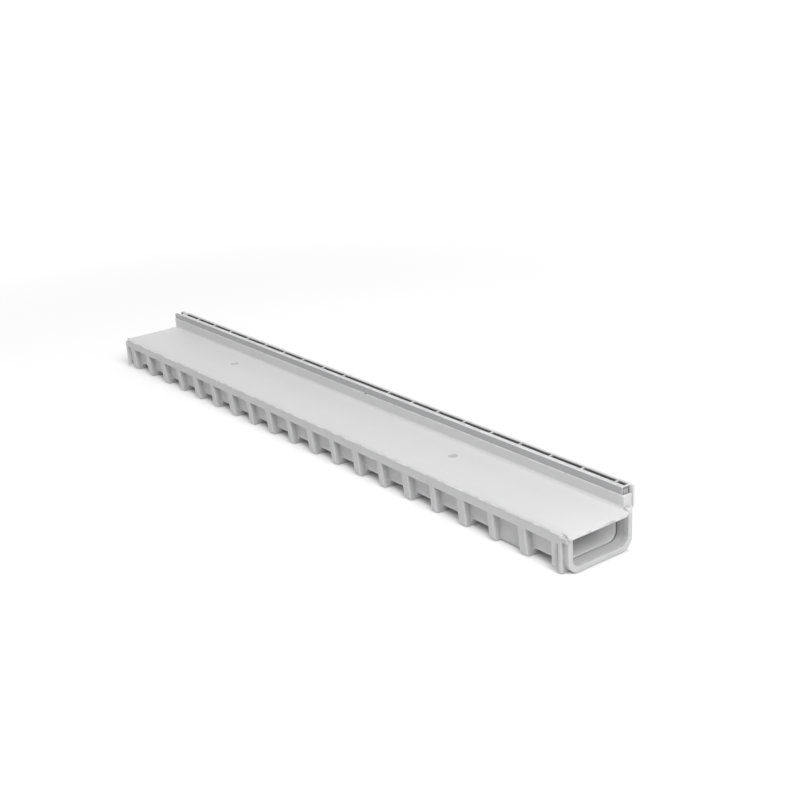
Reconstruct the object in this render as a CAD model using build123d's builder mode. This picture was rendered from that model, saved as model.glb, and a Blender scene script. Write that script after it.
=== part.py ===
"""Shallow slot channel drain: ribbed channel body, flat cover with a rear upstand, two slot rails.

All sizes are in millimetres. X runs along the channel, with the socket collar at +X. Y runs across it,
with the slot upstand towards +Y. Z is up, and the ribs stand on Z = 0. The origin is the centre of the
outline's base.
"""

import os

from build123d import *

os.makedirs("parts", exist_ok=True)

# Main sizes
laying_length = 1000.0  # far end face to the tip of the cover's tongue
tongue_reach = 11.4  # near end plate face to the tip of the cover's tongue
spigot_length = 14.0
body_width = 102.5
rear_overhang = 5.0  # slot housing behind the body
top_height = 71.5
cover_top = 46.5
seam_overlap = 1.0  # joined features reach this far into each other

# Channel body
wall = 2.5
trough_inset = 10.0  # flange face to trough side wall
trough_clear = 5.0  # ground to trough underside
trough_corner = 12.0
skirt_height = 11.5
skirt_wall = 2.2
rim_wall = 1.8
rear_rim_drop = 2.0  # rear rim top below the cover's top face
shelf_rise = 5.0
end_plate = 4.5
end_corner = 6.0
end_edge_round = 3.0

# Ribs, and the gusset beside the near end plate
rib_pitch = 50.43
first_rib_back = 60.2  # end plate face to the centre of the first rib
last_rib_room = 12.0  # least distance from the last rib's centre to the far end face
wide_rib = 12.0
narrow_rib = 9.4
rib_shell = 2.2
rib_taper = 3.0
rib_corner = 6.0
rib_edge_cut = 0.8
rib_sink = 1.2  # depth of the ribs in the trough's wall
gusset_back = 10.7
gusset_width = 8.0
gusset_bottom = 8.0
gusset_taper = 0.8

# Socket collar, seal groove and spigot
collar_length = 7.0
collar_inset = 3.9
collar_wall = 6.0
collar_floor = 6.2
collar_clear = 1.0
collar_corner = 15.0
socket_back = 11.9  # socket depth behind the end plate's outer face
socket_wall = 2.5
socket_corner = 11.0
joint_clearance = 0.4
groove_width = 2.5
groove_depth = 1.2
collar_lip_height = 5.3
collar_lip_proud = 2.8
spigot_floor = 2.0

# Outlet sump between the first and second ribs
sump_clear = 1.0
sump_corner = 3.0
sump_rise = 2.0  # overlap of its side walls with the trough's above the corner rounds

# Cover
cover_thickness = 3.2
cover_gap = 0.3
upstand_inset = 11.0  # rear of the body to the upstand's front face
upstand_wall = 2.0
upstand_foot_round = 3.0
rear_wall = 2.5
rear_foot_height = 2.5
end_wall = 3.0
end_wall_gap = 1.7  # between the end walls and the rear wall
tie_width = 2.5
corner_cut = 6.0
tongue_step = 0.5
tongue_side = 1.0  # tongue's front edge behind the collar's side
tongue_flare = 2.0  # tongue's tip in front of the collar's side
dimple_radius = 6.3
dimple_depth = 1.1
dimple_across = 58.7
dimple_inset = 242.0  # from each end face of the body
clip_back = 108.5
clip_across = 3.2
clip_length = 31.0
clip_width = 1.2
clip_depth = 0.5

# Slot rails
rail_height = 9.5  # top of the rails above the top of the upstand's front wall
rail_setback = 0.9
front_rail_wall = 1.4
rear_rail_wall = 1.2
lip_height = 1.4
lip_cut = 0.4
front_lip = 5.0
slot_width = 6.6
rail_gap = 0.4
tongue_clear = 4.0  # cover top to the lower edge of the rails' tongues
tongue_gap = 0.3
web_width = 2.4
web_drop = 1.2
web_depth = 1.5  # lower edge of the webs below the top of the upstand's front wall
web_shift = 9.0
web_room = 12.5  # least distance from a web to the end of its rail
near_rail_length = 467.6  # near end plate face to the joint of the rails
rail_end_gap = 2.5
end_web_length = 2.0
end_web_height = 4.0
end_web_drop = 0.5
far_step_length = 20.0
far_step_drop = 2.3
boss_radius = 4.2
boss_bore = 2.3
boss_inset = 20.7  # from the far end face
boss_drop = 0.4
lug_pitch = 62.6
first_lug_back = 24.0
lug_window = 11.0
lug_length = 7.0
lug_height = 1.7
lug_gap = 0.25
lug_shift = 1.5

# Positions that follow from the sizes
overall_width = body_width + rear_overhang
x_tip = (laying_length + spigot_length) / 2
x_plate = x_tip - tongue_reach  # outer face of the near end plate
x_mouth = x_plate + collar_length
x_far = x_tip - laying_length
y_front = -overall_width / 2
y_rear = overall_width / 2
y_body_rear = y_front + body_width
ledge_top = cover_top - cover_thickness
rear_rim_top = cover_top - rear_rim_drop
skirt_low = cover_top - skirt_height
trough_front = y_front + trough_inset
trough_rear = y_body_rear - trough_inset
floor_top = trough_clear + wall
y_rim_inner = y_body_rear - skirt_wall
y_upstand = y_body_rear - upstand_inset
y_throat = y_upstand + upstand_wall
y_rear_wall = y_rear - rear_wall
y_end_wall = y_rear_wall - end_wall_gap
upstand_lower_top = top_height - rail_height
tongue_bottom = cover_top + tongue_clear
web_bottom = upstand_lower_top - web_depth
rail_seat = top_height - lip_height
y_rail = y_upstand + rail_setback
y_slot_front = y_upstand + rail_setback / 4 + front_lip
y_slot_rear = y_slot_front + slot_width
y_slot = (y_slot_front + y_slot_rear) / 2
y_tongue = y_throat + tongue_gap
y_rear_tongue = y_rear_wall - tongue_gap
rail_inside = (y_tongue + front_rail_wall, y_rear_tongue - rear_rail_wall)
x_boss = x_far + boss_inset
rib_count = int((x_plate - x_far - first_rib_back - last_rib_room) // rib_pitch) + 1
rib_centres = [x_plate - first_rib_back - k * rib_pitch for k in range(rib_count)]
rib_widths = [wide_rib if k % 2 == 0 else narrow_rib for k in range(rib_count)]
web_centres = [x_plate - first_rib_back - web_shift - k * rib_pitch for k in range(-1, rib_count)]
lug_count = int((x_plate - x_far - 2 * first_lug_back) // lug_pitch) + 1
lug_centres = [x_plate - first_lug_back - k * lug_pitch for k in range(lug_count)]
bore_front = y_front + collar_inset + collar_wall
bore_rear = y_body_rear - collar_inset - collar_wall
bore_floor = collar_clear + collar_floor


def corners(sketch, places):
    """The sketch's vertices at the given places."""
    return [
        v
        for v in sketch.vertices()
        if any(abs(v.X - a) < 0.01 and abs(v.Y - b) < 0.01 for a, b in places)
    ]


# Rib outlines, one wide and one narrow, hollow from below
rib_shapes = {}
for rib_width in (wide_rib, narrow_rib):
    with BuildPart() as rib:
        with BuildSketch(Plane.YZ.offset(-rib_width / 2)) as outline:
            with BuildLine():
                Polyline(
                    (y_front, ledge_top - rib_sink),
                    (y_front, skirt_low),
                    (y_front + rib_taper, 0),
                    (y_body_rear - rib_taper, 0),
                    (y_body_rear, skirt_low),
                    (y_body_rear, skirt_low + seam_overlap),
                    (trough_rear - rib_sink, skirt_low - shelf_rise + seam_overlap),
                    (trough_rear - rib_sink, ledge_top - rib_sink),
                    close=True,
                )
            make_face()
            fillet(
                corners(outline, [(y_front + rib_taper, 0), (y_body_rear - rib_taper, 0)]),
                rib_corner,
            )
        extrude(amount=rib_width)
        chamfer(
            [
                e
                for e in rib.edges()
                if e.length > skirt_low / 2
                and abs(e.center().Y - (y_front + rib_taper / 2)) < rib_taper
            ],
            rib_edge_cut,
        )
        with BuildSketch(Plane.YZ.offset(-rib_width / 2 + rib_shell)) as hollow:
            with BuildLine():
                Polyline(
                    (y_front + rib_shell, skirt_low),
                    (y_front + rib_taper + rib_corner, -seam_overlap),
                    (y_body_rear - rib_taper - rib_corner, -seam_overlap),
                    (y_body_rear - rib_shell, skirt_low - rib_shell),
                    (trough_rear - rib_sink, skirt_low - shelf_rise - rib_shell),
                    (trough_rear - rib_sink, skirt_low),
                    close=True,
                )
            make_face()
        extrude(amount=rib_width - 2 * rib_shell, mode=Mode.SUBTRACT)
        with BuildSketch(Plane.YZ.offset(-rib_width / 2)) as opening:
            with BuildLine():
                Polyline(
                    (trough_front + rib_sink, top_height),
                    (trough_front + rib_sink, trough_clear + rib_sink),
                    (trough_rear - rib_sink, trough_clear + rib_sink),
                    (trough_rear - rib_sink, top_height),
                    close=True,
                )
            make_face()
            fillet(
                corners(
                    opening,
                    [
                        (trough_front + rib_sink, trough_clear + rib_sink),
                        (trough_rear - rib_sink, trough_clear + rib_sink),
                    ],
                ),
                trough_corner - rib_sink,
            )
        extrude(amount=rib_width, mode=Mode.SUBTRACT)
    rib_shapes[rib_width] = rib.part

# Channel body
with BuildPart() as channel_body:
    # Trough, cover ledge, rear shelf and skirts as one section
    with BuildSketch(Plane.YZ.offset(x_far)) as section:
        with BuildLine():
            Polyline(
                (y_front, cover_top),
                (y_front, skirt_low),
                (y_front + skirt_wall, skirt_low),
                (y_front + skirt_wall, ledge_top - wall),
                (trough_front, ledge_top - wall),
                (trough_front, trough_clear),
                (trough_rear, trough_clear),
                (trough_rear, skirt_low - shelf_rise),
                (y_body_rear, skirt_low),
                (y_body_rear, rear_rim_top),
                (y_rim_inner, rear_rim_top),
                (y_rim_inner, skirt_low + wall),
                (trough_rear - wall, skirt_low - shelf_rise + wall),
                (trough_rear - wall, floor_top),
                (trough_front + wall, floor_top),
                (trough_front + wall, ledge_top),
                (y_front + rim_wall, ledge_top),
                (y_front + rim_wall, cover_top),
                close=True,
            )
        make_face()
        fillet(
            corners(section, [(trough_front, trough_clear), (trough_rear, trough_clear)]),
            trough_corner,
        )
        fillet(
            corners(
                section, [(trough_front + wall, floor_top), (trough_rear - wall, floor_top)]
            ),
            trough_corner - wall,
        )
    extrude(amount=x_plate - x_far)

    # End plates
    for plate_start in (x_far, x_plate - end_plate):
        with BuildSketch(Plane.YZ.offset(plate_start)) as plate:
            with BuildLine():
                Polyline(
                    (y_front, ledge_top),
                    (y_front, 0),
                    (y_body_rear, 0),
                    (y_body_rear, rear_rim_top),
                    (y_rim_inner, rear_rim_top),
                    (y_rim_inner, ledge_top),
                    close=True,
                )
            make_face()
            fillet(corners(plate, [(y_front, 0), (y_body_rear, 0)]), end_corner)
        extrude(amount=end_plate)

    # Ribs
    for centre, width in zip(rib_centres, rib_widths):
        add(rib_shapes[width].moved(Location((centre, 0, 0))))

    # Gussets beside the near end plate, hollow from below
    with BuildSketch(Plane.YZ.offset(x_plate - gusset_back - gusset_width / 2)):
        for side, edge, root in ((1, y_front, trough_front), (-1, y_body_rear, trough_rear)):
            with BuildLine():
                Polyline(
                    (edge, skirt_low + seam_overlap),
                    (edge + side * gusset_taper, gusset_bottom),
                    (root + side * rib_sink, gusset_bottom),
                    (root + side * rib_sink, skirt_low - shelf_rise),
                    (root, skirt_low + seam_overlap),
                    close=True,
                )
            make_face()
    extrude(amount=gusset_width)
    with BuildSketch(Plane.XY.offset(gusset_bottom)):
        with Locations(
            (x_plate - gusset_back, (y_front + rib_shell + trough_front) / 2),
            (x_plate - gusset_back, (y_body_rear - rib_shell + trough_rear) / 2),
        ):
            Rectangle(gusset_width - 2 * rib_shell, trough_inset - rib_shell - rib_sink)
    extrude(amount=skirt_low - shelf_rise - rib_shell - gusset_bottom, mode=Mode.SUBTRACT)

    # Sump walls between the first and second ribs
    sump_start = rib_centres[1] + (rib_widths[1] - rib_shell) / 2
    sump_end = rib_centres[0] - (rib_widths[0] - rib_shell) / 2
    with BuildSketch(Plane.YZ.offset(sump_start)) as sump:
        with BuildLine():
            Polyline(
                (trough_front, trough_clear + trough_corner + sump_rise),
                (trough_front, sump_clear),
                (trough_rear, sump_clear),
                (trough_rear, trough_clear + trough_corner + sump_rise),
                close=True,
            )
        make_face()
        fillet(
            corners(sump, [(trough_front, sump_clear), (trough_rear, sump_clear)]), sump_corner
        )
    extrude(amount=sump_end - sump_start)

    # Socket: collar in front of the end plate, thinner walls behind it
    for start, end, front, rear, bottom, corner in (
        (
            x_plate - seam_overlap,
            x_mouth,
            y_front + collar_inset,
            y_body_rear - collar_inset,
            collar_clear,
            collar_corner,
        ),
        (
            x_plate - socket_back - socket_wall,
            x_plate - seam_overlap,
            bore_front - socket_wall,
            bore_rear + socket_wall,
            bore_floor - socket_wall,
            socket_corner + socket_wall,
        ),
    ):
        with BuildSketch(Plane.YZ.offset(start)) as collar:
            with BuildLine():
                Polyline(
                    (front, ledge_top), (front, bottom), (rear, bottom), (rear, ledge_top), close=True
                )
            make_face()
            fillet(corners(collar, [(front, bottom), (rear, bottom)]), corner)
        extrude(amount=end - start)

    # Short side lips of the collar
    with BuildSketch(Plane.YZ.offset(x_plate - seam_overlap)):
        with Locations(
            (y_front + collar_inset, ledge_top - collar_lip_height / 2),
            (y_body_rear - collar_inset, ledge_top - collar_lip_height / 2),
        ):
            Rectangle(2 * collar_lip_proud, collar_lip_height)
    extrude(amount=collar_length + seam_overlap)

    # Spigot at the far end
    spigot_low = bore_floor + joint_clearance
    with BuildSketch(Plane.YZ.offset(x_far - spigot_length)) as spigot:
        with BuildLine():
            Polyline(
                (bore_front + joint_clearance, ledge_top),
                (bore_front + joint_clearance, spigot_low),
                (bore_rear - joint_clearance, spigot_low),
                (bore_rear - joint_clearance, ledge_top),
                close=True,
            )
        make_face()
        fillet(
            corners(
                spigot,
                [
                    (bore_front + joint_clearance, spigot_low),
                    (bore_rear - joint_clearance, spigot_low),
                ],
            ),
            socket_corner - joint_clearance,
        )
    extrude(amount=spigot_length + seam_overlap)

    # Water way: spigot and far end plate, trough and near end plate, socket, seal groove
    for start, end, front, rear, bottom, corner in (
        (
            x_far - spigot_length,
            x_far + end_plate,
            trough_front + wall,
            trough_rear - wall,
            spigot_low + spigot_floor,
            socket_corner - joint_clearance - spigot_floor,
        ),
        (
            x_far + end_plate,
            x_mouth,
            trough_front + wall,
            trough_rear - wall,
            floor_top,
            trough_corner - wall,
        ),
        (x_plate - socket_back, x_mouth, bore_front, bore_rear, bore_floor, socket_corner),
        (
            x_plate - socket_back,
            x_plate - socket_back + groove_width,
            bore_front - groove_depth,
            bore_rear + groove_depth,
            bore_floor - groove_depth,
            socket_corner + groove_depth,
        ),
    ):
        with BuildSketch(Plane.YZ.offset(start)) as bore:
            with BuildLine():
                Polyline(
                    (front, top_height), (front, bottom), (rear, bottom), (rear, top_height), close=True
                )
            make_face()
            fillet(corners(bore, [(front, bottom), (rear, bottom)]), corner)
        extrude(amount=end - start, mode=Mode.SUBTRACT)

    # Front rim cut down to the ledge at the far corner
    with BuildSketch(Plane.XY.offset(ledge_top)):
        with Locations((x_far + corner_cut / 2, y_front)):
            Rectangle(corner_cut, 2 * rim_wall)
    extrude(amount=cover_thickness, mode=Mode.SUBTRACT)

    # Sump hollow, open to the trough
    with BuildSketch(Plane.XY.offset(sump_clear + wall)):
        with Locations(((sump_start + sump_end) / 2, (trough_front + trough_rear) / 2)):
            RectangleRounded(
                sump_end - sump_start - 2 * wall,
                trough_rear - trough_front - 2 * trough_corner,
                sump_corner,
            )
    extrude(amount=trough_clear, mode=Mode.SUBTRACT)

    # Rounded upright edge of the near end plate
    fillet(
        [
            e
            for e in channel_body.edges().filter_by(Axis.Z)
            if abs(e.center().X - x_plate) < 0.01 and abs(e.center().Y - y_front) < 0.01
        ],
        end_edge_round,
    )

channel_body.part.label = "channel_body"
export_step(channel_body.part, "parts/channel_body.step")

# Slot cover
with BuildPart() as slot_cover:
    # Flat plate with its tongue over the collar
    with BuildSketch(Plane.XY.offset(ledge_top)):
        with BuildLine():
            Polyline(
                (x_far, y_front + rim_wall + cover_gap + corner_cut),
                (x_far + corner_cut, y_front + rim_wall + cover_gap),
                (x_plate - end_edge_round - tongue_step, y_front + rim_wall + cover_gap),
                (x_plate - end_edge_round, y_front + collar_inset + tongue_side),
                (x_plate + tongue_reach / 3, y_front + collar_inset + tongue_side),
                (x_mouth, y_front + collar_inset - tongue_flare + tongue_step),
                (x_tip, y_front + collar_inset - tongue_flare),
                (x_tip, y_throat),
                (x_far, y_throat),
                close=True,
            )
        make_face()
    extrude(amount=cover_thickness)

    # Upstand front wall with a rounded foot
    with BuildSketch(Plane.YZ.offset(x_far)) as front_wall:
        with BuildLine():
            Polyline(
                (y_upstand, upstand_lower_top),
                (y_upstand, cover_top),
                (y_upstand - upstand_foot_round - seam_overlap, cover_top),
                (y_upstand - upstand_foot_round - seam_overlap, cover_top - seam_overlap),
                (y_throat, cover_top - seam_overlap),
                (y_throat, upstand_lower_top),
                close=True,
            )
        make_face()
        fillet(corners(front_wall, [(y_upstand, cover_top)]), upstand_foot_round)
    extrude(amount=x_plate - x_far)

    # Rear foot and rear wall
    with BuildSketch(Plane.YZ.offset(x_far)):
        with BuildLine():
            Polyline(
                (y_rim_inner, rear_rim_top),
                (y_rear, rear_rim_top),
                (y_rear, rail_seat),
                (y_rear_wall, rail_seat),
                (y_rear_wall, rear_rim_top + rear_foot_height),
                (y_rim_inner, rear_rim_top + rear_foot_height),
                close=True,
            )
        make_face()
    extrude(amount=x_plate + end_wall / 2 - x_far)

    # End walls of the upstand
    for start, end in ((x_far, x_far + end_wall), (x_plate - end_wall / 2, x_plate + end_wall / 2)):
        with BuildSketch(Plane.YZ.offset(start)):
            with BuildLine():
                Polyline(
                    (y_upstand, ledge_top),
                    (y_rim_inner, ledge_top),
                    (y_rim_inner, rear_rim_top),
                    (y_end_wall, rear_rim_top),
                    (y_end_wall, upstand_lower_top),
                    (y_upstand, upstand_lower_top),
                    close=True,
                )
            make_face()
        extrude(amount=end - start)

    # Ties across the throat, below every second web
    with BuildSketch(Plane.XY.offset(rear_rim_top)):
        with Locations(
            *[(x, (y_throat + y_rim_inner) / 2) for x in web_centres[1:-1:2]]
        ):
            Rectangle(tie_width, y_rim_inner - y_throat + seam_overlap)
    extrude(amount=rear_foot_height)

    # Gate dimples, clip groove and rail lug windows
    dimple_sphere = (dimple_radius**2 + dimple_depth**2) / (2 * dimple_depth)
    with Locations(
        (x_plate - dimple_inset, y_front + dimple_across, cover_top + dimple_sphere - dimple_depth),
        (x_far + dimple_inset, y_front + dimple_across, cover_top + dimple_sphere - dimple_depth),
    ):
        Sphere(dimple_sphere, mode=Mode.SUBTRACT)
    with BuildSketch(Plane.XY.offset(cover_top - clip_depth)):
        with Locations((x_plate - clip_back, y_front + rim_wall + cover_gap + clip_across)):
            SlotOverall(clip_length, clip_width)
    extrude(amount=clip_depth, mode=Mode.SUBTRACT)
    with BuildSketch(Plane.XY.offset(upstand_lower_top - lug_height)):
        with Locations(*[(x, y_upstand + upstand_wall / 2) for x in lug_centres]):
            Rectangle(lug_window, upstand_wall)
    extrude(amount=lug_height, mode=Mode.SUBTRACT)

slot_cover.part.label = "slot_cover"
export_step(slot_cover.part, "parts/slot_cover.step")

# Slot rails: front wall with lip, rear wall with flange, webs between
x_joint = x_plate - near_rail_length
rails = {
    "near_slot_rail": (x_joint + rail_gap / 2, x_plate - rail_end_gap),
    "far_slot_rail": (x_far, x_joint - rail_gap / 2),
}
for rail_name, (rail_start, rail_end) in rails.items():
    is_far = rail_start == x_far
    tongue_start = rail_start + (end_wall + rail_gap if is_far else 0.0)
    with BuildPart() as rail:
        # Front wall above the cover's wall, with the lip over it
        with BuildSketch(Plane.YZ.offset(rail_start)):
            with BuildLine():
                Polyline(
                    (y_rail, upstand_lower_top),
                    (y_rail, rail_seat),
                    (y_rail - rail_setback + lip_cut / 2, rail_seat + lip_cut),
                    (y_rail - rail_setback + lip_cut / 2, top_height - lip_cut),
                    (y_rail - rail_setback + lip_cut, top_height),
                    (y_slot_front, top_height),
                    (y_slot_front, rail_seat),
                    (rail_inside[0], rail_seat - lip_height),
                    (rail_inside[0], upstand_lower_top),
                    close=True,
                )
            make_face()
            with BuildLine():
                Polyline(
                    (y_slot_rear, rail_seat),
                    (y_slot_rear, top_height),
                    (y_rear - lip_cut, top_height),
                    (y_rear, top_height - lip_cut),
                    (y_rear, rail_seat),
                    (y_rear_tongue, rail_seat),
                    (y_rear_tongue, upstand_lower_top),
                    (rail_inside[1], upstand_lower_top),
                    (rail_inside[1], rail_seat),
                    close=True,
                )
            make_face()
        extrude(amount=rail_end - rail_start)

        # Tongues inside the upstand
        with BuildSketch(Plane.YZ.offset(tongue_start)):
            with BuildLine():
                Polyline(
                    (y_tongue, tongue_bottom),
                    (y_tongue, upstand_lower_top + seam_overlap),
                    (rail_inside[0], upstand_lower_top + seam_overlap),
                    (rail_inside[0], tongue_bottom),
                    close=True,
                )
            make_face()
            with BuildLine():
                Polyline(
                    (rail_inside[1], tongue_bottom),
                    (rail_inside[1], upstand_lower_top + seam_overlap),
                    (y_rear_tongue, upstand_lower_top + seam_overlap),
                    (y_rear_tongue, tongue_bottom),
                    close=True,
                )
            make_face()
        extrude(amount=rail_end - tongue_start)

        # Webs across the slot
        here = [
            x
            for x in web_centres
            if rail_start + web_room < x < rail_end - web_room
            and not (is_far and abs(x - x_boss) < boss_radius + 2 * web_width)
        ]
        web_span = rail_inside[1] - rail_inside[0] + seam_overlap
        y_web = (rail_inside[0] + rail_inside[1]) / 2
        with BuildSketch(Plane.XY.offset(web_bottom)):
            with Locations(*[(x, y_web) for x in here]):
                Rectangle(web_width, web_span)
        extrude(amount=top_height - web_drop - web_bottom)

        # Lugs that show in the cover's windows
        lugs = [x for x in lug_centres if rail_start + lug_window < x < rail_end - lug_window / 2]
        lug_reach = y_tongue - y_upstand - rail_setback
        with BuildSketch(Plane.XY.offset(upstand_lower_top - lug_height + lug_gap)):
            with Locations(
                *[(x - lug_shift, y_upstand + rail_setback + (lug_reach + rail_gap) / 2) for x in lugs]
            ):
                Rectangle(lug_length, lug_reach + rail_gap)
        extrude(amount=lug_height)

        if is_far:
            # Lower, set-back stretch at the far end, and a round boss at its foot
            with BuildSketch(Plane.XY.offset(top_height - far_step_drop)):
                with Locations((x_far + far_step_length / 2, 0)):
                    Rectangle(far_step_length, 2 * overall_width)
            extrude(amount=far_step_drop + seam_overlap, mode=Mode.SUBTRACT)
            with BuildSketch(Plane.XY.offset(web_bottom)):
                with Locations((x_boss, y_slot)):
                    Circle(boss_radius)
            extrude(amount=top_height - boss_drop - web_bottom)
            with BuildSketch(Plane.XY.offset(web_bottom)):
                with Locations((x_boss - boss_radius, y_web)):
                    Rectangle(web_width, web_span)
            extrude(amount=top_height - far_step_drop - seam_overlap - web_bottom)
            with BuildSketch(Plane.XY.offset(web_bottom - seam_overlap)):
                with Locations((x_boss, y_slot)):
                    Circle(boss_bore)
            extrude(amount=rail_height + web_depth + seam_overlap, mode=Mode.SUBTRACT)
        else:
            # Web that closes the near end under the lips
            with BuildSketch(Plane.XY.offset(top_height - end_web_drop - end_web_height)):
                with Locations((rail_end - end_web_length / 2, y_web)):
                    Rectangle(end_web_length, web_span)
            extrude(amount=end_web_height)
    rail.part.label = rail_name
    export_step(rail.part, f"parts/{rail_name}.step")
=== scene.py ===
"""Slot channel drain on a white studio floor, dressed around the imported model."""

import math

import bmesh
import bpy
from mathutils import Matrix, Vector


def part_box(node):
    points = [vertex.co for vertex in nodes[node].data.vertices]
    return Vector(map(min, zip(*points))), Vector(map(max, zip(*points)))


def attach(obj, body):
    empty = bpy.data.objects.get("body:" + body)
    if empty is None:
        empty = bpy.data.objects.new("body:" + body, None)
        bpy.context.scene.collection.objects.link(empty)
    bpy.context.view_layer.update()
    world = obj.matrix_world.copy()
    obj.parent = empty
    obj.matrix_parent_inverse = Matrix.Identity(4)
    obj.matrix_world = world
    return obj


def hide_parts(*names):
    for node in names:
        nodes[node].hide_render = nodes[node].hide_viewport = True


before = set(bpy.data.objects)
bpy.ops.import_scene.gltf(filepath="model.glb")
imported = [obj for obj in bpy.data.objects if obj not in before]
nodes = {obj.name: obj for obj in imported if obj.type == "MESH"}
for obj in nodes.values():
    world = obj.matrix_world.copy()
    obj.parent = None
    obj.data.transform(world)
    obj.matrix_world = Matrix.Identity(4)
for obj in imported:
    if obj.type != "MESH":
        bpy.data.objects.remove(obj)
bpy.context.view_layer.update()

# Camera, solved from the photograph's edges
PHOTO_SIDE = 800
SENSOR = 36.0
FOCAL_PIXELS = 1282.0
CAMERA_PLACE = Vector((1.349375, -0.883831, 0.627041))
CAMERA_YAW = math.radians(53.35)
CAMERA_PITCH = math.radians(19.77)
CAMERA_ROLL = math.radians(-3.13)
NEAR_CLIP = 0.01
FAR_CLIP = 200.0

# Places on the model, read from its boxes
body_low, body_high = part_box("channel_body")
cover_low, cover_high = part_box("slot_cover")
rail_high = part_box("near_slot_rail")[1]
COLLAR_LENGTH = 0.0070
BODY_LENGTH = 0.9886
SOCKET_BACK = 0.0119
MOUTH_FACE = body_high[0]
PLATE_FACE = MOUTH_FACE - COLLAR_LENGTH
SOCKET_SEAM = PLATE_FACE - SOCKET_BACK
FAR_FACE = PLATE_FACE - BODY_LENGTH
FRONT = body_low[1]
REAR = body_high[1]
TOP = body_high[2]
LEDGE = cover_low[2]
SLOT_TOP = rail_high[2]
UPSTAND_ACROSS = 0.0915
UPSTAND = FRONT + UPSTAND_ACROSS
UPSTAND_WALL = 0.0020
RAIL_HEIGHT = 0.0095
WALL_TOP = SLOT_TOP - RAIL_HEIGHT
LIP_HEIGHT = 0.0014
LIP_SEAT = SLOT_TOP - LIP_HEIGHT
REAR_RAIL_WALL = 0.0012
COVER_END = 0.0015
COLLAR_INSET = 0.0039
COLLAR_WALL = 0.0060
LEG_INSIDE = REAR - COLLAR_INSET - COLLAR_WALL

# How far joined shapes reach into a piece and cutters reach past it
OVERLAP = 0.0010
RUN_PAST = 0.02
MERGE_DISTANCE = 1e-6

# Gusset webs joined to the near end plate
GUSSET_ACROSS = (0.0012, 0.0100)
GUSSET_BEHIND = (0.0068, 0.0044)
GUSSET_LEVELS = (0.0080, 0.0355)

# Corner block, raised leg and cuts of the body
CORNER_LENGTH = 0.0030
CORNER_ACROSS = 0.0049
CORNER_ROUND = 0.0028
CORNER_STEPS = 6
LEG_START = 0.0016
LEG_RISE = 0.0030
SHOULDER_INSET = 0.0001
SHOULDER_GAP = 0.0002
REAR_LIP_HEIGHT = 0.0060
PLATE_SKIN = 0.00001
FAR_PLATE = 0.0045
FAR_PLATE_FOOT = 0.0050
RIM_CHAMFER = 0.0005
WALL_CHAMFER = 0.0008

# Gate dimples, clip lugs and the clip groove of the cover
DIMPLE_INSET = 0.2420
DIMPLE_PLACES = (PLATE_FACE - DIMPLE_INSET, FAR_FACE + DIMPLE_INSET)
DIMPLE_ACROSS = FRONT + 0.0587
DIMPLE_RADIUS = 0.0063
DIMPLE_DEPTH = 0.0018
DIMPLE_SEGMENTS = (96, 64)
LUG_PITCH = 0.0626
FIRST_LUG_BACK = 0.0240
LUG_COUNT = 16
WINDOW_WIDTH = 0.0110
SHOWN_WINDOW = 0.0060
WINDOW_HEIGHT = 0.0017
WINDOW_LAP = 0.0003
CLIP_BACK = 0.1085
CLIP_LENGTH = 0.0310

# Cut of the tongue beside the leg, straight and then slanted towards the tip
TONGUE_CLEAR = 0.0003
TONGUE_CUT_ACROSS = 0.0030
TONGUE_SLANT = 0.0067
SLANT_BLOCK = (0.0200, 0.0100, 0.0100)

# Web that closes the near end of the rail
WEB_BACK = (0.0030, 0.0010)
WEB_SIDES = (0.0036, 0.0041)
WEB_FOOT = 0.0015
WEB_DROP = 0.0020
WEB_ROUND = 0.0004
WEB_STEPS = 2

# Light levels
SKY_LEVEL = 0.52
KEY_PLACE = Vector((3.2, -0.7, 3.1))
KEY_SIZE = 2.4
KEY_POWER = 150.0
FLOOR_SIDE = 80.0
FLOOR_TONE = 0.86
FLOOR_LIFT_NEAR = 0.24
FLOOR_LIFT_FAR = 0.66
FLOOR_LIFT_START = 0.75
FLOOR_LIFT_END = 2.6
FLOOR_SHADE_INNER = 0.037
FLOOR_SHADE_OUTER = 0.047

# Plastic tones
BODY_TONE = (0.600, 0.600, 0.606)
# Lighter tone inside the trough: painted light, brighter than the plastic's own tone
INSIDE_LIGHT_TONE = (0.800, 0.800, 0.804)
# Darker tone on the collar: painted shade against the strong lamp on its end faces
COLLAR_SHADE_TONE = (0.500, 0.500, 0.504)
# Darker tone on the end plate's outer face: painted shade
PLATE_FACE_SHADE_TONE = (0.380, 0.380, 0.384)
# Dark tone in the socket groove: painted shade
GROOVE_SHADE_TONE = (0.200, 0.200, 0.202)
COVER_TONE = (0.750, 0.750, 0.756)
# Darker tone of the rails and the end web: painted shade of the slot wall's band under the lips
RAIL_BAND_SHADE_TONE = (0.450, 0.450, 0.456)
# Lighter tones on the lips' tops: painted highlights
FRONT_LIP_HIGHLIGHT_TONE = (0.780, 0.780, 0.786)
REAR_LIP_HIGHLIGHT_TONE = (0.900, 0.900, 0.905)
# Dark tone inside the slot: painted shade
SLOT_SHADE_TONE = (0.220, 0.220, 0.222)
# Darker tone in the gate dimples: painted shade
DIMPLE_SHADE_TONE = (0.520, 0.520, 0.524)
# Darker tone on the cover's end face: painted shade
COVER_END_SHADE_TONE = (0.610, 0.610, 0.614)
# Darker, patchy tone on the tongue's tip: painted shade
TONGUE_TIP_SHADE_TONE = (0.420, 0.420, 0.424)
# Pale tone of painted highlights on edges, lines and lugs
EDGE_HIGHLIGHT_TONE = (0.900, 0.900, 0.905)

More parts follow.
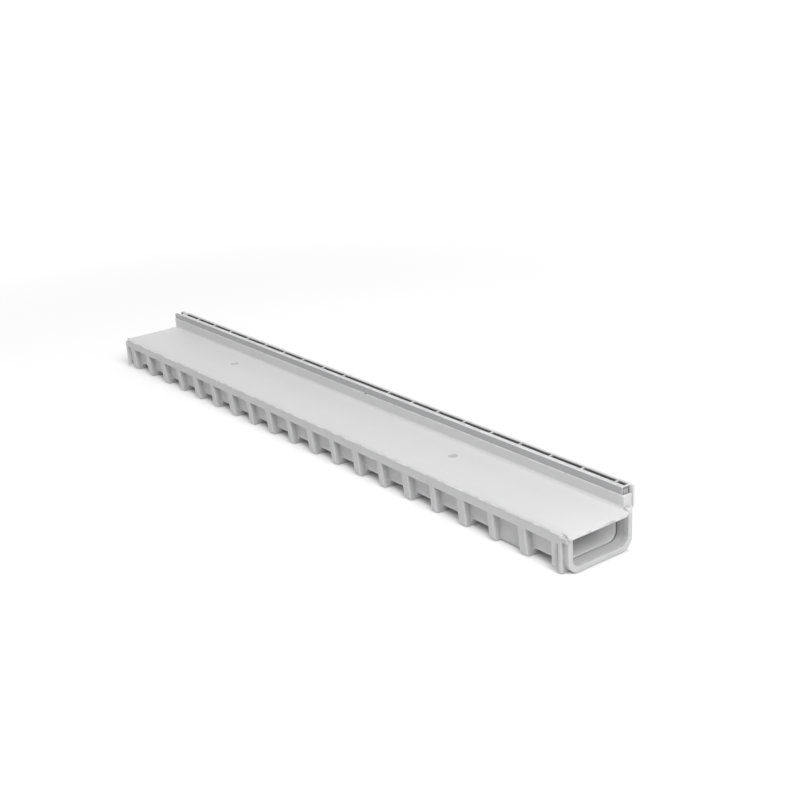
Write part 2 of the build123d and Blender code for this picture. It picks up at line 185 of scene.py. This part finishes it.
# Finishes: mottling, streaks, roughness, grain and the strength of painted highlights on edges
BODY_FINISH = (0.05, 0.03, 0.46, 0.35, 0.35)
COVER_FINISH = (0.04, 0.04, 0.40, 0.30, 0.6)
RAIL_FINISH = (0.05, 0.03, 0.44, 0.30, 0.6)

# Patchiness of the tone zones, from an even tone to a broken one
EVEN = 0.0
REAR_LIP_HIGHLIGHT_PATCHES = 0.1
FRONT_LIP_HIGHLIGHT_PATCHES = 0.4
WALL_HIGHLIGHT_PATCHES = 0.6
TONGUE_TIP_SHADE_PATCHES = 0.7
RIM_HIGHLIGHT_PATCHES = 0.8

# Margins of the tone zones around the faces that they colour
SKIN = 0.0001
ABOVE_EDGE = 0.0005
RIM_LINE = 0.0004
RIM_WIDTH = 0.0019
WALL_LINE = 0.0006
WALL_LINE_WIDTH = 0.0022
LEG_SIDE = 0.0006
INSIDE_INSET = 0.0110
INSIDE_FLOOR = 0.0062
GROOVE_INSET = 0.0080
GROOVE_FLOOR = 0.0050
GROOVE_WIDTH = 0.0025
FACE_DEPTH = 0.0003
DIMPLE_ZONE = 0.0070
DIMPLE_ZONE_DEPTH = 0.0025
CLIP_ZONE_ACROSS = 0.0100
CLIP_ZONE_DEPTH = 0.0006
SLOT_FOOT = 0.0020

# Plastic surface: noise scales in waves per metre, with their detail and roughness
CLOUD_NOISE = (14.0, 3.0, 0.5)
STREAK_NOISE = (160.0, 2.0, 0.5)
GRAIN_NOISE = (2600.0, 2.0, 0.6)
SCUFF_NOISE = (240.0, 4.0, 0.65)
# Noise that breaks the painted edge highlights into patches
HIGHLIGHT_BREAK_NOISE = (70.0, 2.0, 0.5)
PATCH_NOISE = (60.0, 2.0, 0.5)
STREAK_STRETCH = (0.05, 1.0, 1.0)
NOISE_MIDDLE = 0.5
# Range and least strength of the patches in the painted edge highlights
HIGHLIGHT_BREAK_RANGE = (0.35, 0.62)
HIGHLIGHT_BREAK_LEAST = 0.25
PATCH_RANGE = (0.42, 0.58)
EDGE_RANGE = (0.995, 0.86)
EDGE_ROUND = 0.0008
EDGE_SAMPLES = 6
SCUFF_ROUGHNESS = 0.16
GRAIN_SHARE = 0.6
SCUFF_SHARE = 0.4
GRAIN_DEPTH = 0.00012
PLASTIC_IOR = 1.46
PLASTIC_SHINE = 0.35
GLOW_WEIGHT = 0.35
GLOW_DEPTH = 0.02


def new_group(name, inputs, outputs):
    """A shader node group with float or colour inputs, given as (name, kind, default)."""
    group = bpy.data.node_groups.new(name, "ShaderNodeTree")
    for label, kind, default in inputs:
        socket = group.interface.new_socket(label, in_out="INPUT", socket_type=kind)
        socket.default_value = default
    for label, kind in outputs:
        group.interface.new_socket(label, in_out="OUTPUT", socket_type=kind)
    source = group.nodes.new("NodeGroupInput")
    target = group.nodes.new("NodeGroupOutput")
    return group, source, target


def add_node(tree, kind, **settings):
    """A node with some of its properties set."""
    node = tree.nodes.new(kind)
    for label, value in settings.items():
        setattr(node, label, value)
    return node


def math_node(tree, operation, first, second=None, third=None):
    """A math node fed by sockets or numbers; returns its output socket."""
    node = add_node(tree, "ShaderNodeMath", operation=operation)
    for socket, value in zip(node.inputs, (first, second, third)):
        if value is None:
            continue
        if isinstance(value, bpy.types.NodeSocket):
            tree.links.new(value, socket)
        else:
            socket.default_value = value
    return node.outputs[0]


def noise_node(tree, vector, kind):
    """A noise texture of the given scale, detail and roughness; returns its factor socket."""
    scale, detail, roughness = kind
    node = add_node(tree, "ShaderNodeTexNoise")
    node.inputs["Scale"].default_value = scale
    node.inputs["Detail"].default_value = detail
    node.inputs["Roughness"].default_value = roughness
    tree.links.new(vector, node.inputs["Vector"])
    return node.outputs["Fac"]


def range_node(tree, value, span, interpolation="LINEAR"):
    """A map range node that turns the span into 0 to 1."""
    node = add_node(tree, "ShaderNodeMapRange", interpolation_type=interpolation)
    node.inputs["From Min"].default_value = span[0]
    node.inputs["From Max"].default_value = span[1]
    tree.links.new(value, node.inputs["Value"])
    return node


def link_mix(tree, first, second, blend, target):
    """Joins two colours to a colour mix, and its result to the target."""
    colours = [socket for socket in blend.inputs if socket.type == "RGBA"]
    tree.links.new(first, colours[0])
    tree.links.new(second, colours[1])
    result = [socket for socket in blend.outputs if socket.type == "RGBA"][0]
    tree.links.new(result, target)


def shift_node(tree, noise, amount):
    """A noise centred on zero and scaled by the amount."""
    centred = math_node(tree, "SUBTRACT", noise, NOISE_MIDDLE)
    return math_node(tree, "MULTIPLY", centred, amount)


def build_moulding_group():
    """Grain, flow mottling and tone of moulded plastic on Object coordinates, with painted highlights on
    its edges.
    """
    group, source, target = new_group(
        "moulding",
        [
            ("Tone", "NodeSocketColor", (0.6, 0.6, 0.6, 1.0)),
            ("Mottling", "NodeSocketFloat", 0.04),
            ("Streaks", "NodeSocketFloat", 0.03),
            ("Roughness", "NodeSocketFloat", 0.45),
            ("Edge Highlight Tone", "NodeSocketColor", (0.9, 0.9, 0.9, 1.0)),
            ("Edge Highlight Amount", "NodeSocketFloat", 0.6),
            ("Rounded", "NodeSocketVector", (0.0, 0.0, 1.0)),
        ],
        [("Color", "NodeSocketColor"), ("Roughness", "NodeSocketFloat"), ("Height", "NodeSocketFloat")],
    )
    place = add_node(group, "ShaderNodeTexCoord").outputs["Object"]
    cloud = noise_node(group, place, CLOUD_NOISE)
    stretched = add_node(group, "ShaderNodeMapping")
    stretched.inputs["Scale"].default_value = STREAK_STRETCH
    group.links.new(place, stretched.inputs["Vector"])
    streak = noise_node(group, stretched.outputs["Vector"], STREAK_NOISE)
    grain = noise_node(group, place, GRAIN_NOISE)
    scuff = noise_node(group, place, SCUFF_NOISE)
    cloud_shift = shift_node(group, cloud, source.outputs["Mottling"])
    streak_shift = shift_node(group, streak, source.outputs["Streaks"])
    value = math_node(group, "ADD", math_node(group, "ADD", cloud_shift, streak_shift), 1.0)
    shade = add_node(group, "ShaderNodeHueSaturation")
    group.links.new(source.outputs["Tone"], shade.inputs["Color"])
    group.links.new(value, shade.inputs["Value"])
    # Painted highlight: edges, found where the rounded normal turns from the true one, paled in patches
    facing = add_node(group, "ShaderNodeVectorMath", operation="DOT_PRODUCT")
    group.links.new(source.outputs["Rounded"], facing.inputs[0])
    group.links.new(add_node(group, "ShaderNodeNewGeometry").outputs["Normal"], facing.inputs[1])
    edge = range_node(group, facing.outputs["Value"], EDGE_RANGE)
    highlight_break = range_node(group, noise_node(group, place, HIGHLIGHT_BREAK_NOISE), HIGHLIGHT_BREAK_RANGE)
    highlight_break.inputs["To Min"].default_value = HIGHLIGHT_BREAK_LEAST
    edge_highlight = math_node(group, "MULTIPLY", edge.outputs[0], highlight_break.outputs[0])
    blend = add_node(group, "ShaderNodeMix", data_type="RGBA")
    amount = math_node(group, "MULTIPLY", edge_highlight, source.outputs["Edge Highlight Amount"])
    group.links.new(amount, blend.inputs["Factor"])
    link_mix(group, shade.outputs["Color"], source.outputs["Edge Highlight Tone"], blend, target.inputs["Color"])
    rough_shift = shift_node(group, scuff, SCUFF_ROUGHNESS)
    rough = math_node(group, "ADD", source.outputs["Roughness"], rough_shift)
    group.links.new(rough, target.inputs["Roughness"])
    scuff_height = math_node(group, "MULTIPLY", scuff, SCUFF_SHARE)
    height = math_node(group, "MULTIPLY_ADD", grain, GRAIN_SHARE, scuff_height)
    group.links.new(height, target.inputs["Height"])
    return group


def build_zone_group():
    """A colour that gives way to another inside a box of the object, evenly or in patches."""
    group, source, target = new_group(
        "zone_tone",
        [
            ("Base", "NodeSocketColor", (0.6, 0.6, 0.6, 1.0)),
            ("Zone", "NodeSocketColor", (0.8, 0.8, 0.8, 1.0)),
            ("Low", "NodeSocketVector", (0.0, 0.0, 0.0)),
            ("High", "NodeSocketVector", (0.0, 0.0, 0.0)),
            ("Patches", "NodeSocketFloat", EVEN),
        ],
        [("Color", "NodeSocketColor")],
    )
    place = add_node(group, "ShaderNodeTexCoord").outputs["Object"]
    here = add_node(group, "ShaderNodeSeparateXYZ")
    low = add_node(group, "ShaderNodeSeparateXYZ")
    high = add_node(group, "ShaderNodeSeparateXYZ")
    group.links.new(place, here.inputs[0])
    group.links.new(source.outputs["Low"], low.inputs[0])
    group.links.new(source.outputs["High"], high.inputs[0])
    mask = None
    for axis in "XYZ":
        above = math_node(group, "GREATER_THAN", here.outputs[axis], low.outputs[axis])
        below = math_node(group, "LESS_THAN", here.outputs[axis], high.outputs[axis])
        within = math_node(group, "MULTIPLY", above, below)
        mask = within if mask is None else math_node(group, "MULTIPLY", mask, within)
    patch = range_node(group, noise_node(group, place, PATCH_NOISE), PATCH_RANGE)
    gap = math_node(group, "SUBTRACT", 1.0, patch.outputs[0])
    missing = math_node(group, "MULTIPLY", gap, source.outputs["Patches"])
    strength = math_node(group, "MULTIPLY", mask, math_node(group, "SUBTRACT", 1.0, missing))
    blend = add_node(group, "ShaderNodeMix", data_type="RGBA")
    group.links.new(strength, blend.inputs["Factor"])
    link_mix(group, source.outputs["Base"], source.outputs["Zone"], blend, target.inputs["Color"])
    return group


def plastic(name, tone, finish, zones):
    """A moulded plastic; each zone is its box, its tone and how patchy it is."""
    mottling, streaks, roughness, grain, edges = finish
    material = bpy.data.materials.new(name)
    material.use_nodes = True
    tree = material.node_tree
    shader = tree.nodes["Principled BSDF"]
    moulding = add_node(tree, "ShaderNodeGroup", node_tree=moulding_group)
    moulding.inputs["Tone"].default_value = (*tone, 1.0)
    moulding.inputs["Mottling"].default_value = mottling
    moulding.inputs["Streaks"].default_value = streaks
    moulding.inputs["Roughness"].default_value = roughness
    moulding.inputs["Edge Highlight Tone"].default_value = (*EDGE_HIGHLIGHT_TONE, 1.0)
    moulding.inputs["Edge Highlight Amount"].default_value = edges
    last = None
    for (low, high), zone_tone, patches in zones:
        zone = add_node(tree, "ShaderNodeGroup", node_tree=zone_group)
        zone.inputs["Base"].default_value = (*tone, 1.0)
        zone.inputs["Zone"].default_value = (*zone_tone, 1.0)
        zone.inputs["Low"].default_value = low
        zone.inputs["High"].default_value = high
        zone.inputs["Patches"].default_value = patches
        if last:
            tree.links.new(last.outputs["Color"], zone.inputs["Base"])
        tree.links.new(zone.outputs["Color"], moulding.inputs["Tone"])
        last = zone
    softened = add_node(tree, "ShaderNodeBevel", samples=EDGE_SAMPLES)
    softened.inputs["Radius"].default_value = EDGE_ROUND
    tree.links.new(softened.outputs["Normal"], moulding.inputs["Rounded"])
    bump = add_node(tree, "ShaderNodeBump")
    bump.inputs["Strength"].default_value = grain
    bump.inputs["Distance"].default_value = GRAIN_DEPTH
    tree.links.new(softened.outputs["Normal"], bump.inputs["Normal"])
    tree.links.new(moulding.outputs["Height"], bump.inputs["Height"])
    tree.links.new(moulding.outputs["Color"], shader.inputs["Base Color"])
    tree.links.new(moulding.outputs["Roughness"], shader.inputs["Roughness"])
    tree.links.new(bump.outputs["Normal"], shader.inputs["Normal"])
    shader.inputs["IOR"].default_value = PLASTIC_IOR
    shader.inputs["Specular IOR Level"].default_value = PLASTIC_SHINE
    shader.inputs["Subsurface Weight"].default_value = GLOW_WEIGHT
    shader.inputs["Subsurface Radius"].default_value = (1.0, 1.0, 1.0)
    shader.inputs["Subsurface Scale"].default_value = GLOW_DEPTH
    return material


def dress(piece, material):
    """The piece shows the given material."""
    piece.data.materials.clear()
    piece.data.materials.append(material)


def box_shape(low, high):
    """A box between two corners, as a bmesh."""
    bm = bmesh.new()
    bmesh.ops.create_cube(bm, size=1.0)
    middle = [(a + b) / 2 for a, b in zip(low, high)]
    bmesh.ops.scale(bm, vec=[b - a for a, b in zip(low, high)], verts=bm.verts)
    bmesh.ops.translate(bm, vec=middle, verts=bm.verts)
    return bm


def turned_box(middle, size, angle, axis):
    """A box of the given size, turned about an axis through its middle, as a bmesh."""
    bm = box_shape([-v / 2 for v in size], [v / 2 for v in size])
    bmesh.ops.rotate(bm, matrix=Matrix.Rotation(angle, 3, axis), verts=bm.verts)
    bmesh.ops.translate(bm, vec=middle, verts=bm.verts)
    return bm


def edge_cutter(y, z, depth):
    """A square bar on its corner, which chamfers a long edge by the given depth, as a bmesh."""
    side = depth * math.sqrt(2.0)
    middle = ((FAR_FACE + MOUTH_FACE) / 2, y, z)
    size = (MOUTH_FACE - FAR_FACE + 2 * RUN_PAST, side, side)
    return turned_box(middle, size, math.radians(45), "X")


def joined(name, shapes):
    """One object made of several bmeshes that don't touch."""
    mesh = bpy.data.meshes.new(name)
    whole = bmesh.new()
    for bm in shapes:
        part = bpy.data.meshes.new(name + "_part")
        bm.to_mesh(part)
        bm.free()
        whole.from_mesh(part)
        bpy.data.meshes.remove(part)
    whole.to_mesh(mesh)
    whole.free()
    piece = bpy.data.objects.new(name, mesh)
    bpy.context.scene.collection.objects.link(piece)
    return piece


def node_copy(name, node_name):
    """A merged copy of a CAD node's mesh."""
    bm = bmesh.new()
    bm.from_mesh(nodes[node_name].data)
    bmesh.ops.remove_doubles(bm, verts=bm.verts, dist=MERGE_DISTANCE)
    return joined(name, [bm])


def work(piece, operation, shapes):
    """Joins the shapes to the piece or cuts them from it."""
    tool = joined("tool", shapes)
    modifier = piece.modifiers.new("work", "BOOLEAN")
    modifier.operation = operation
    modifier.solver = "EXACT"
    modifier.object = tool
    scene_graph = bpy.context.evaluated_depsgraph_get()
    mesh = bpy.data.meshes.new_from_object(piece.evaluated_get(scene_graph))
    piece.modifiers.clear()
    piece.data = mesh
    mesh.name = piece.name
    tool_mesh = tool.data
    bpy.data.objects.remove(tool)
    bpy.data.meshes.remove(tool_mesh)


def corner_block():
    """The block at the front of the near end plate, rounded upright, as a bmesh."""
    block = box_shape(
        (PLATE_FACE - CORNER_LENGTH, FRONT, LEDGE - OVERLAP),
        (PLATE_FACE, FRONT + CORNER_ACROSS, TOP),
    )
    upright = [
        edge
        for edge in block.edges
        if all(v.co.x > PLATE_FACE - OVERLAP and v.co.y < FRONT + OVERLAP for v in edge.verts)
    ]
    bmesh.ops.bevel(
        block,
        geom=upright,
        offset=CORNER_ROUND,
        segments=CORNER_STEPS,
        profile=0.5,
        affect="EDGES",
        material=-1,
    )
    return block


def make_channel():
    """The body with its gussets joined to the end plate, the corner block and the collar's raised leg."""
    channel = node_copy("ribbed_channel", "channel_body")
    added = []
    for inward, side in ((1, FRONT), (-1, REAR)):
        ends = sorted(side + inward * reach for reach in GUSSET_ACROSS)
        added.append(
            box_shape(
                (PLATE_FACE - GUSSET_BEHIND[0], ends[0], GUSSET_LEVELS[0]),
                (PLATE_FACE - GUSSET_BEHIND[1], ends[1], GUSSET_LEVELS[1]),
            )
        )
    added.append(corner_block())
    added.append(
        box_shape(
            (PLATE_FACE + LEG_START, LEG_INSIDE, LEDGE - OVERLAP),
            (MOUTH_FACE, LEG_INSIDE + COLLAR_WALL, TOP + LEG_RISE),
        )
    )
    work(channel, "UNION", added)
    shoulder = box_shape(
        (PLATE_FACE + LEG_START, UPSTAND + SHOULDER_INSET, TOP + SHOULDER_GAP),
        (MOUTH_FACE, LEG_INSIDE + COLLAR_WALL / 2, TOP + LEG_RISE),
    )
    work(channel, "UNION", [shoulder])
    rear_lip = box_shape(
        (PLATE_FACE + PLATE_SKIN, REAR - COLLAR_INSET, LEDGE - REAR_LIP_HEIGHT),
        (MOUTH_FACE + OVERLAP, REAR, LEDGE + OVERLAP),
    )
    far_foot = box_shape(
        (FAR_FACE - OVERLAP, FRONT - OVERLAP, -OVERLAP),
        (FAR_FACE + FAR_PLATE, REAR + OVERLAP, FAR_PLATE_FOOT),
    )
    for shape in (rear_lip, far_foot, edge_cutter(FRONT, TOP, RIM_CHAMFER)):
        work(channel, "DIFFERENCE", [shape])
    return channel


def window_fillers():
    """Small blocks at both sides of each lug window, which leave it narrower, as bmeshes."""
    fillers = []
    for k in range(LUG_COUNT):
        middle = PLATE_FACE - FIRST_LUG_BACK - k * LUG_PITCH
        for side in (-1, 1):
            inner = middle + side * SHOWN_WINDOW / 2
            outer = middle + side * (WINDOW_WIDTH / 2 + WINDOW_LAP)
            fillers.append(
                box_shape(
                    (min(inner, outer), UPSTAND, WALL_TOP - WINDOW_HEIGHT - WINDOW_LAP),
                    (max(inner, outer), UPSTAND + UPSTAND_WALL, WALL_TOP),
                )
            )
    return fillers


def dimple_cutter(place):
    """A ball whose lowest part cuts a gate dimple, as a bmesh."""
    radius = (DIMPLE_RADIUS**2 + DIMPLE_DEPTH**2) / (2 * DIMPLE_DEPTH)
    around, upwards = DIMPLE_SEGMENTS
    bm = bmesh.new()
    bmesh.ops.create_uvsphere(bm, u_segments=around, v_segments=upwards, radius=radius)
    bmesh.ops.translate(bm, vec=(place, DIMPLE_ACROSS, TOP + radius - DIMPLE_DEPTH), verts=bm.verts)
    return bm


def make_cover():
    """The cover with narrow lug windows, clear gate dimples and the tongue cut back beside the leg."""
    cover = node_copy("flat_cover", "slot_cover")
    work(cover, "UNION", window_fillers())
    cuts = [dimple_cutter(place) for place in DIMPLE_PLACES]
    cuts.append(
        box_shape(
            (PLATE_FACE + COVER_END, LEG_INSIDE - TONGUE_CLEAR, LEDGE - OVERLAP),
            (MOUTH_FACE, UPSTAND + TONGUE_CUT_ACROSS, TOP + OVERLAP),
        )
    )
    slant = math.atan2(TONGUE_SLANT, cover_high[0] - MOUTH_FACE)
    half_block = SLANT_BLOCK[1] / 2
    block_middle = (
        (MOUTH_FACE + cover_high[0]) / 2 + half_block * math.sin(slant),
        LEG_INSIDE - TONGUE_CLEAR - TONGUE_SLANT / 2 + half_block * math.cos(slant),
        TOP,
    )
    cuts.append(turned_box(block_middle, SLANT_BLOCK, -slant, "Z"))
    cuts.append(edge_cutter(UPSTAND, WALL_TOP, WALL_CHAMFER))
    for shape in cuts:
        work(cover, "DIFFERENCE", [shape])
    return cover


def make_end_web():
    """The web that closes the near end of the rail, a little behind its end."""
    web = box_shape(
        (rail_high[0] - WEB_BACK[0], UPSTAND + WEB_SIDES[0], WALL_TOP - WEB_FOOT),
        (rail_high[0] - WEB_BACK[1], cover_high[1] - WEB_SIDES[1], SLOT_TOP - WEB_DROP),
    )
    bmesh.ops.bevel(
        web,
        geom=web.edges[:],
        offset=WEB_ROUND,
        segments=WEB_STEPS,
        profile=0.5,
        affect="EDGES",
        material=-1,
    )
    return joined("rail_end_web", [web])


def along(low_y, low_z, high_y, high_z):
    """A zone that runs the whole length."""
    return (FAR_FACE - RUN_PAST, low_y, low_z), (MOUTH_FACE + RUN_PAST, high_y, high_z)


def body_zones():
    """Painted highlights along the rim and on the raised leg's side, painted light inside the trough,
    painted shade in the socket groove, on the collar and on the end plate's face.
    """
    # Painted highlight along the front rim's top edge, broken in patches
    rim_highlight = along(
        FRONT - OVERLAP, TOP - RIM_CHAMFER - RIM_LINE, FRONT + RIM_WIDTH, TOP + ABOVE_EDGE
    )
    # Painted highlight on the raised leg's side face
    leg_side_highlight = (
        (PLATE_FACE + LEG_START - SKIN, UPSTAND - OVERLAP, TOP + SKIN),
        (MOUTH_FACE + OVERLAP, UPSTAND + LEG_SIDE, TOP + LEG_RISE - 2 * SKIN),
    )
    # Painted light inside the trough
    inside = (
        (FAR_FACE - RUN_PAST, FRONT + INSIDE_INSET, INSIDE_FLOOR),
        (SOCKET_SEAM, REAR - INSIDE_INSET, LEDGE + OVERLAP),
    )
    # Painted shade in the socket groove
    groove = (
        (SOCKET_SEAM, FRONT + GROOVE_INSET, GROOVE_FLOOR),
        (SOCKET_SEAM + GROOVE_WIDTH, REAR - GROOVE_INSET, LEDGE - FACE_DEPTH),
    )
    # Painted shade on the collar
    collar = (
        (SOCKET_SEAM + GROOVE_WIDTH + SKIN, FRONT, -OVERLAP),
        (MOUTH_FACE + OVERLAP, REAR, LEDGE - 2 * SKIN),
    )
    # Painted shade on the end plate's outer face
    plate_face_shade = (
        (PLATE_FACE - 2 * SKIN, FRONT, -OVERLAP),
        (PLATE_FACE + FACE_DEPTH, REAR, LEDGE - 2 * SKIN),
    )
    return [
        (rim_highlight, EDGE_HIGHLIGHT_TONE, RIM_HIGHLIGHT_PATCHES),
        (leg_side_highlight, EDGE_HIGHLIGHT_TONE, EVEN),
        (inside, INSIDE_LIGHT_TONE, EVEN),
        (groove, GROOVE_SHADE_TONE, EVEN),
        (collar, COLLAR_SHADE_TONE, EVEN),
        (plate_face_shade, PLATE_FACE_SHADE_TONE, EVEN),
    ]


def cover_zones():
    """Painted highlight along the slot wall's top, painted shade in the dimples, painted highlight on the
    clip groove, and painted shade on the end face and the tongue's tip.
    """
    # Painted highlight along the slot wall's top edge, broken in patches
    wall_highlight = along(
        UPSTAND - SKIN,
        WALL_TOP - WALL_CHAMFER - WALL_LINE,
        UPSTAND + WALL_LINE_WIDTH,
        WALL_TOP + ABOVE_EDGE,
    )
    zones = [(wall_highlight, EDGE_HIGHLIGHT_TONE, WALL_HIGHLIGHT_PATCHES)]
    # Painted shade in each gate dimple
    for place in DIMPLE_PLACES:
        dimple = (
            (place - DIMPLE_ZONE, DIMPLE_ACROSS - DIMPLE_ZONE, TOP - DIMPLE_ZONE_DEPTH),
            (place + DIMPLE_ZONE, DIMPLE_ACROSS + DIMPLE_ZONE, TOP - SKIN),
        )
        zones.append((dimple, DIMPLE_SHADE_TONE, EVEN))
    # Painted highlight on the clip groove
    clip_groove_highlight = (
        (PLATE_FACE - CLIP_BACK - CLIP_LENGTH / 2, FRONT, TOP - CLIP_ZONE_DEPTH),
        (PLATE_FACE - CLIP_BACK + CLIP_LENGTH / 2, FRONT + CLIP_ZONE_ACROSS, TOP - SKIN),
    )
    # Painted shade on the cover's end face
    end_face_shade = (
        (PLATE_FACE + COVER_END - SKIN, UPSTAND - OVERLAP, LEDGE),
        (MOUTH_FACE, cover_high[1] + OVERLAP, SLOT_TOP),
    )
    # Painted shade on the tongue's tip, broken in patches
    tongue_tip_shade = (
        (cover_high[0] - FACE_DEPTH, FRONT, LEDGE - OVERLAP),
        (cover_high[0] + OVERLAP, REAR, TOP + OVERLAP),
    )
    zones.append((clip_groove_highlight, EDGE_HIGHLIGHT_TONE, EVEN))
    zones.append((end_face_shade, COVER_END_SHADE_TONE, EVEN))
    zones.append((tongue_tip_shade, TONGUE_TIP_SHADE_TONE, TONGUE_TIP_SHADE_PATCHES))
    return zones


def rail_zones():
    """Painted shade in the slot, and painted highlights on the lips and on the clip lugs."""
    # Painted shade inside the slot
    slot = along(UPSTAND + UPSTAND_WALL, WALL_TOP - SLOT_FOOT, REAR + REAR_RAIL_WALL, LIP_SEAT - SKIN)
    # Painted highlights on the tops of the front and rear lips
    front_lip_highlight = along(UPSTAND - OVERLAP, LIP_SEAT, REAR, SLOT_TOP + OVERLAP)
    rear_lip = along(REAR, LIP_SEAT, cover_high[1] + OVERLAP, SLOT_TOP + OVERLAP)
    # Painted highlight on the clip lugs seen through the windows
    lugs = along(UPSTAND - OVERLAP, WALL_TOP - SLOT_FOOT, UPSTAND + UPSTAND_WALL, WALL_TOP - SKIN)
    return [
        (slot, SLOT_SHADE_TONE, EVEN),
        (front_lip_highlight, FRONT_LIP_HIGHLIGHT_TONE, FRONT_LIP_HIGHLIGHT_PATCHES),
        (rear_lip, REAR_LIP_HIGHLIGHT_TONE, REAR_LIP_HIGHLIGHT_PATCHES),
        (lugs, EDGE_HIGHLIGHT_TONE, EVEN),
    ]


def seen_rays(tree):
    """1 for the rays that show a surface in the picture, its reflections included, and 0 for others."""
    rays = add_node(tree, "ShaderNodeLightPath")
    seen = math_node(tree, "MAXIMUM", rays.outputs["Is Camera Ray"], rays.outputs["Is Glossy Ray"])
    return math_node(tree, "MAXIMUM", seen, rays.outputs["Is Transmission Ray"])


def add_floor():
    """A white studio floor, lifted towards white for the camera, that keeps the object's shadow; the lift
    is left off under the object and close beside it, a painted shade there.
    """
    bm = bmesh.new()
    bmesh.ops.create_grid(bm, x_segments=1, y_segments=1, size=FLOOR_SIDE / 2)
    mesh = bpy.data.meshes.new("studio_floor")
    bm.to_mesh(mesh)
    bm.free()
    floor = bpy.data.objects.new("studio_floor", mesh)
    bpy.context.scene.collection.objects.link(floor)
    material = bpy.data.materials.new("studio_floor")
    material.use_nodes = True
    tree = material.node_tree
    tree.nodes.clear()
    paper = add_node(tree, "ShaderNodeBsdfDiffuse")
    paper.inputs["Color"].default_value = (FLOOR_TONE, FLOOR_TONE, FLOOR_TONE, 1.0)
    glow = add_node(tree, "ShaderNodeEmission")
    seen = seen_rays(tree)
    place = add_node(tree, "ShaderNodeTexCoord").outputs["Object"]
    reach = add_node(tree, "ShaderNodeVectorMath", operation="LENGTH")
    tree.links.new(place, reach.inputs[0])
    lift_span = (FLOOR_LIFT_START, FLOOR_LIFT_END)
    lift = range_node(tree, reach.outputs["Value"], lift_span, "SMOOTHSTEP")
    lift.inputs["To Min"].default_value = FLOOR_LIFT_NEAR
    lift.inputs["To Max"].default_value = FLOOR_LIFT_FAR
    # Painted shade: the lift is left off under the trough and just beside it, which darkens the floor
    # there
    across = add_node(tree, "ShaderNodeSeparateXYZ")
    tree.links.new(place, across.inputs[0])
    from_middle = math_node(tree, "ABSOLUTE", across.outputs["Y"])
    side_span = (FLOOR_SHADE_INNER, FLOOR_SHADE_OUTER)
    beside = range_node(tree, from_middle, side_span, "SMOOTHSTEP")
    from_centre = math_node(tree, "ABSOLUTE", across.outputs["X"])
    end_span = (MOUTH_FACE, MOUTH_FACE + FLOOR_SHADE_OUTER - FLOOR_SHADE_INNER)
    beyond = range_node(tree, from_centre, end_span, "SMOOTHSTEP")
    away = math_node(tree, "MAXIMUM", beside.outputs[0], beyond.outputs[0])
    lifted = math_node(tree, "MULTIPLY", away, lift.outputs[0])
    tree.links.new(math_node(tree, "MULTIPLY", seen, lifted), glow.inputs["Strength"])
    both = add_node(tree, "ShaderNodeAddShader")
    out = add_node(tree, "ShaderNodeOutputMaterial")
    tree.links.new(paper.outputs[0], both.inputs[0])
    tree.links.new(glow.outputs[0], both.inputs[1])
    tree.links.new(both.outputs[0], out.inputs["Surface"])
    mesh.materials.append(material)


def add_lights():
    """An even white sky and one broad lamp over the near end."""
    world = bpy.data.worlds.new("studio")
    bpy.context.scene.world = world
    world.use_nodes = True
    tree = world.node_tree
    sky = tree.nodes["Background"]
    sky.inputs["Color"].default_value = (1.0, 1.0, 1.0, 1.0)
    level = math_node(tree, "MULTIPLY_ADD", seen_rays(tree), 1.0 - SKY_LEVEL, SKY_LEVEL)
    tree.links.new(level, sky.inputs["Strength"])
    lamp = bpy.data.lights.new("key_softbox", "AREA")
    lamp.shape = "SQUARE"
    lamp.size = KEY_SIZE
    lamp.energy = KEY_POWER
    softbox = bpy.data.objects.new("key_softbox", lamp)
    softbox.location = KEY_PLACE
    softbox.rotation_euler = (-KEY_PLACE).to_track_quat("-Z", "Y").to_euler()
    bpy.context.scene.collection.objects.link(softbox)


def add_camera():
    """The photograph's view."""
    lens = bpy.data.cameras.new("photo_view")
    lens.sensor_width = SENSOR
    lens.lens = FOCAL_PIXELS * SENSOR / PHOTO_SIDE
    lens.clip_start = NEAR_CLIP
    lens.clip_end = FAR_CLIP
    camera = bpy.data.objects.new("photo_view", lens)
    camera.matrix_world = (
        Matrix.Translation(CAMERA_PLACE)
        @ Matrix.Rotation(CAMERA_YAW, 4, "Z")
        @ Matrix.Rotation(math.pi / 2 - CAMERA_PITCH, 4, "X")
        @ Matrix.Rotation(CAMERA_ROLL, 4, "Z")
    )
    bpy.context.scene.collection.objects.link(camera)
    bpy.context.scene.camera = camera


moulding_group = build_moulding_group()
zone_group = build_zone_group()
channel = make_channel()
cover = make_cover()
end_web = make_end_web()
dress(channel, plastic("body_plastic", BODY_TONE, BODY_FINISH, body_zones()))
dress(cover, plastic("cover_plastic", COVER_TONE, COVER_FINISH, cover_zones()))
dress(end_web, plastic("web_plastic", RAIL_BAND_SHADE_TONE, COVER_FINISH, []))
rail_plastic = plastic("rail_plastic", RAIL_BAND_SHADE_TONE, RAIL_FINISH, rail_zones())
dress(nodes["near_slot_rail"], rail_plastic)
dress(nodes["far_slot_rail"], rail_plastic)
for piece, slot in ((channel, "grey_body"), (cover, "grey_cover"), (end_web, "grey_rail")):
    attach(piece, "root")
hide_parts("channel_body")
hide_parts("slot_cover")

add_floor()
add_lights()
add_camera()
bpy.context.scene.view_settings.view_transform = "Standard"
